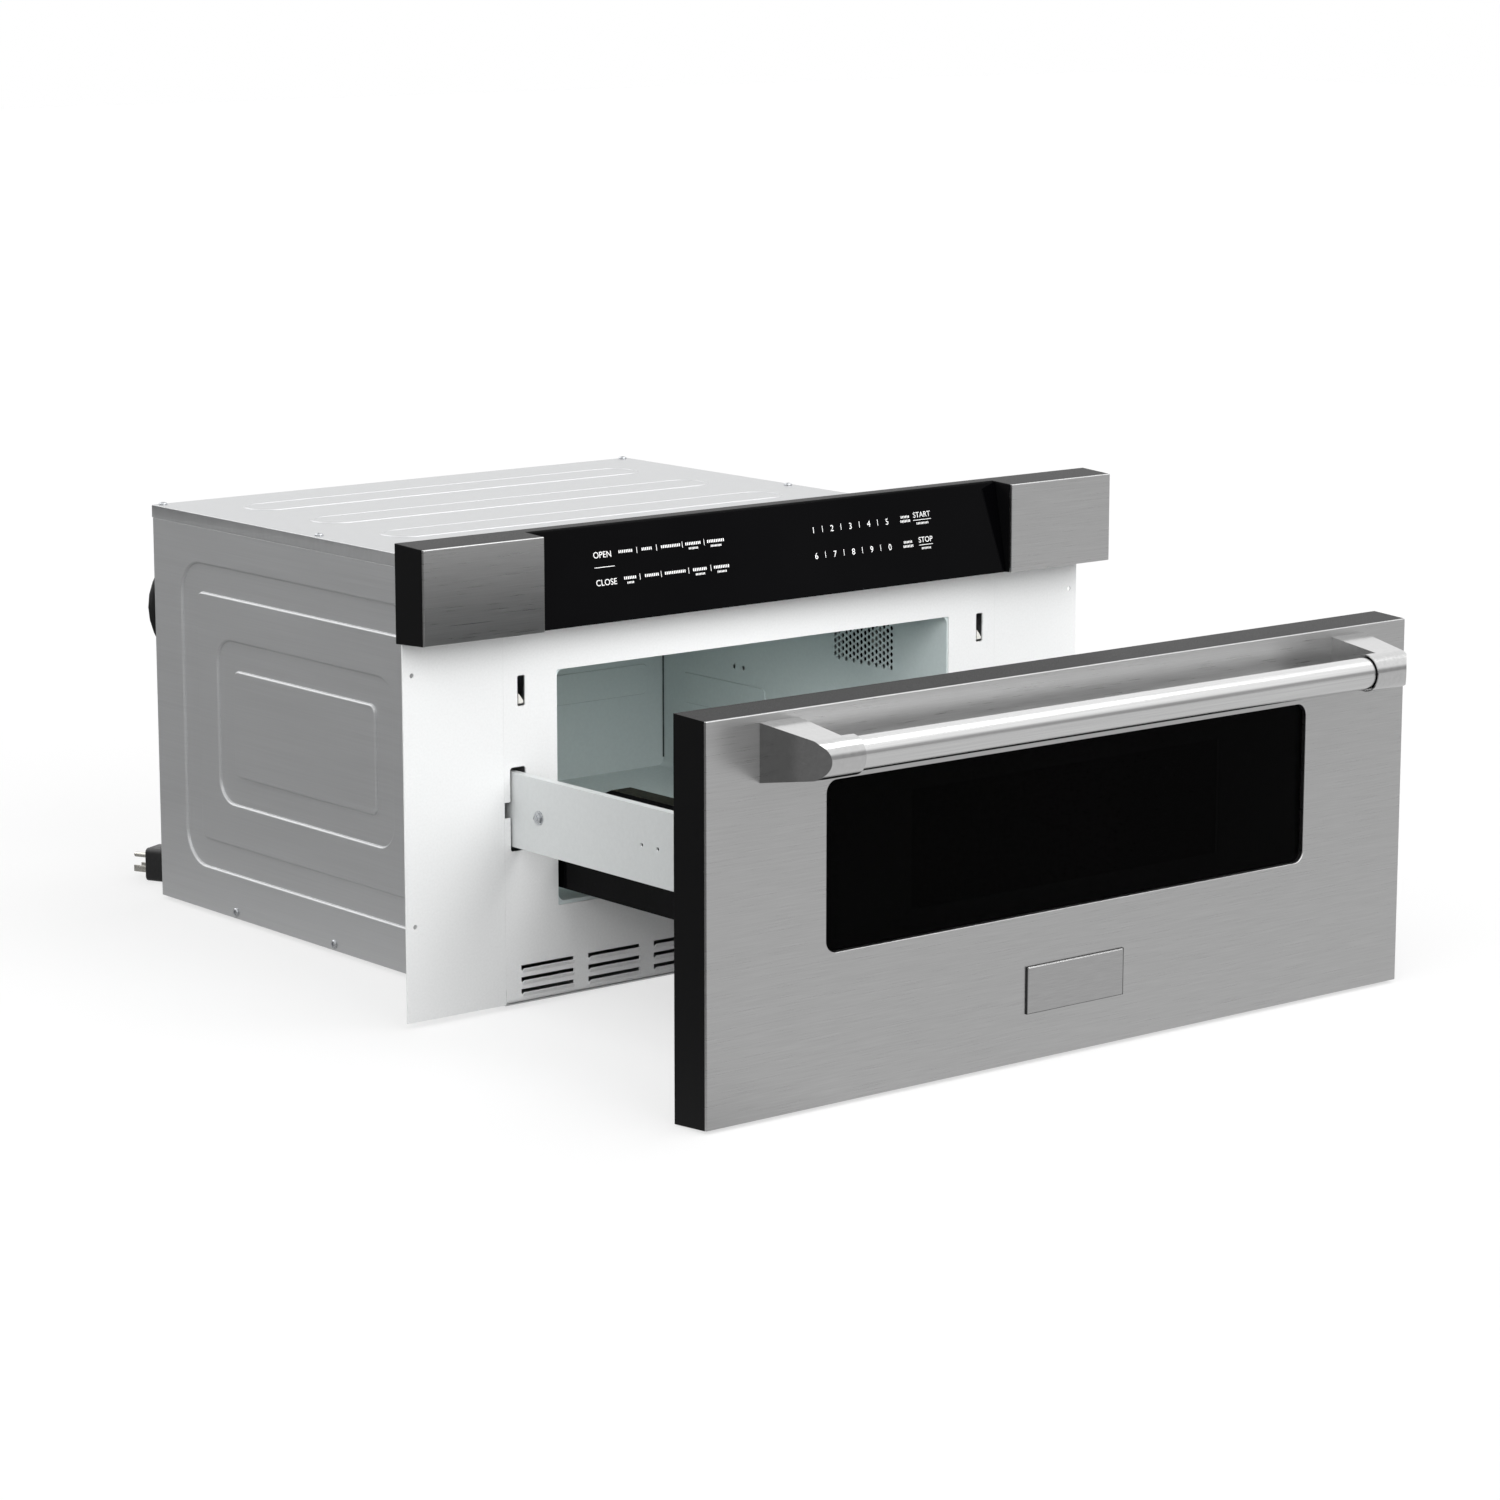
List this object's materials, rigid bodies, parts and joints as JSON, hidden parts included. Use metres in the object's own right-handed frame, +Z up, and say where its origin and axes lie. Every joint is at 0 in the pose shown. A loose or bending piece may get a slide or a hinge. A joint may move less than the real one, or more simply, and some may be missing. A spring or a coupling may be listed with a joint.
{
  "type": "microwave drawer oven",
  "caption": "Built-in microwave oven with a motorised drawer, leaning touch panel, bar handle, mounting flanges and a steel case",
  "frame": {"origin": "centre of the base's pressed field, on the surface that the case stands on", "axes": "+X to the right as seen from the front, +Y to the back, +Z up; the drawer is open at rest"},
  "size_m": [0.7626, 1.133, 0.4071],
  "materials": {
    "galvanised_sheet": "smooth galvanised steel sheet",
    "white_paint": "white painted steel, low gloss",
    "stainless": "stainless sheet, fine horizontal brush",
    "black_plastic": "black moulded plastic",
    "control_glass": "black printed glass",
    "window_glass": "dark tinted glass",
    "clear_glass": "clear glass",
    "cavity_enamel": "grey cavity enamel",
    "black_enamel": "black vitreous enamel",
    "arm_paint": "off-white stoved paint",
    "screen_metal": "black perforated sheet",
    "bright_steel": "bright zinc plated steel",
    "handle_steel": "satin stainless bar",
    "handle_cast": "satin cast bracket",
    "nylon": "white nylon",
    "grey_plastic": "grey moulded plastic",
    "aluminium": "plain aluminium",
    "core_steel": "varnished laminated core",
    "mica": "mica board",
    "board": "green circuit board",
    "brass_gear": "natural acetal",
    "cord_rubber": "black vinyl cord"
  },
  "bodies": {
    "cabinet": {"base_plate": "galvanised_sheet", "side_panel_left": "galvanised_sheet", "side_panel_right": "galvanised_sheet", "top_cover": "galvanised_sheet", "rear_panel": "galvanised_sheet", "case_screws": "bright_steel", "front_frame": "white_paint", "mounting_flanges": "white_paint", "cavity_liner": "cavity_enamel", "waveguide": "galvanised_sheet", "magnetron": "aluminium", "stirrer_motor": "bright_steel", "stirrer_cover": "mica", "lamp_hood": "galvanised_sheet", "cavity_lamp": "clear_glass", "power_transformer": "core_steel", "capacitor": "aluminium", "blower_housing": "grey_plastic", "blower_motor": "bright_steel", "rail_left": "galvanised_sheet", "rail_right": "galvanised_sheet", "guide_shoes": "nylon", "interlock_switches": "grey_plastic", "drive_motor": "bright_steel", "control_housing": "black_plastic", "control_trims": "stainless", "control_glass": "control_glass", "control_board": "board", "cord_gland": "cord_rubber", "cord_run": "cord_rubber", "cord_coil": "cord_rubber", "cord_lead": "cord_rubber", "plug": "cord_rubber"},
    "drawer": {"drawer_housing": "black_plastic", "drawer_skin": "stainless", "window_glass": "window_glass", "drawer_panel": "galvanised_sheet", "window_screen": "screen_metal", "window_inner_glass": "clear_glass", "choke_frame": "grey_plastic", "latch_hooks": "bright_steel", "badge_plate": "stainless", "handle_bar": "handle_steel", "handle_bracket_left": "handle_cast", "handle_bracket_right": "handle_cast", "basket": "black_enamel", "glass_tray": "clear_glass", "arm_left": "arm_paint", "arm_right": "arm_paint", "arm_nuts": "bright_steel", "drive_rack": "brass_gear"},
    "front_roller_left": {"front_roller_left": "nylon"},
    "front_roller_right": {"front_roller_right": "nylon"},
    "rear_roller_left": {"rear_roller_left": "nylon"},
    "rear_roller_right": {"rear_roller_right": "nylon"},
    "pinion": {"drive_pinion": "brass_gear"},
    "blower_wheel": {"blower_wheel": "grey_plastic"},
    "stirrer": {"stirrer": "aluminium"},
    "interlock_lever_left": {"interlock_lever_left": "nylon"},
    "interlock_lever_right": {"interlock_lever_right": "nylon"}
  },
  "joints": [
    {"name": "drawer_slide", "type": "slide", "parent": "cabinet", "child": "drawer", "axis": [0, -1, 0], "range_m": [-0.364, 0]},
    {"name": "front_roller_left_spin", "type": "hinge", "parent": "cabinet", "child": "front_roller_left", "pos_m": [-0.2611, -0.252, 0.1925], "axis": [1, 0, 0], "range_deg": [-2200, 5]},
    {"name": "rear_roller_left_spin", "type": "hinge", "parent": "drawer", "child": "rear_roller_left", "pos_m": [-0.2523, -0.2149, 0.172], "axis": [1, 0, 0], "range_deg": [-5, 2200]},
    {"name": "front_roller_right_spin", "type": "hinge", "parent": "cabinet", "child": "front_roller_right", "pos_m": [0.2611, -0.252, 0.1925], "axis": [1, 0, 0], "range_deg": [-2200, 5]},
    {"name": "rear_roller_right_spin", "type": "hinge", "parent": "drawer", "child": "rear_roller_right", "pos_m": [0.2523, -0.2149, 0.172], "axis": [1, 0, 0], "range_deg": [-5, 2200]},
    {"name": "pinion_spin", "type": "hinge", "parent": "cabinet", "child": "pinion", "pos_m": [0.2555, -0.238, 0.12712], "axis": [1, 0, 0], "range_deg": [-1745, 5]},
    {"name": "blower_spin", "type": "hinge", "parent": "cabinet", "child": "blower_wheel", "pos_m": [-0.12, 0.2108, 0.098], "axis": [1, 0, 0], "continuous": true},
    {"name": "stirrer_spin", "type": "hinge", "parent": "cabinet", "child": "stirrer", "pos_m": [0, -0.062, 0.28], "axis": [0, 0, 1], "continuous": true},
    {"name": "interlock_lever_left_tilt", "type": "hinge", "parent": "cabinet", "child": "interlock_lever_left", "pos_m": [-0.256, -0.2635, 0.254], "axis": [1, 0, 0], "range_deg": [-12, 0], "stiffness_Nm_per_rad": 0.01, "springref_deg": 2.86},
    {"name": "interlock_lever_right_tilt", "type": "hinge", "parent": "cabinet", "child": "interlock_lever_right", "pos_m": [0.256, -0.2635, 0.254], "axis": [1, 0, 0], "range_deg": [-12, 0], "stiffness_Nm_per_rad": 0.01, "springref_deg": 2.86}
  ],
  "couplings": [
    {"joint": "front_roller_left_spin", "follows": "drawer_slide", "rad_per_m": 105.26},
    {"joint": "rear_roller_left_spin", "follows": "drawer_slide", "rad_per_m": -105.26},
    {"joint": "front_roller_right_spin", "follows": "drawer_slide", "rad_per_m": 105.26},
    {"joint": "rear_roller_right_spin", "follows": "drawer_slide", "rad_per_m": -105.26},
    {"joint": "pinion_spin", "follows": "drawer_slide", "rad_per_m": 83.333}
  ]
}
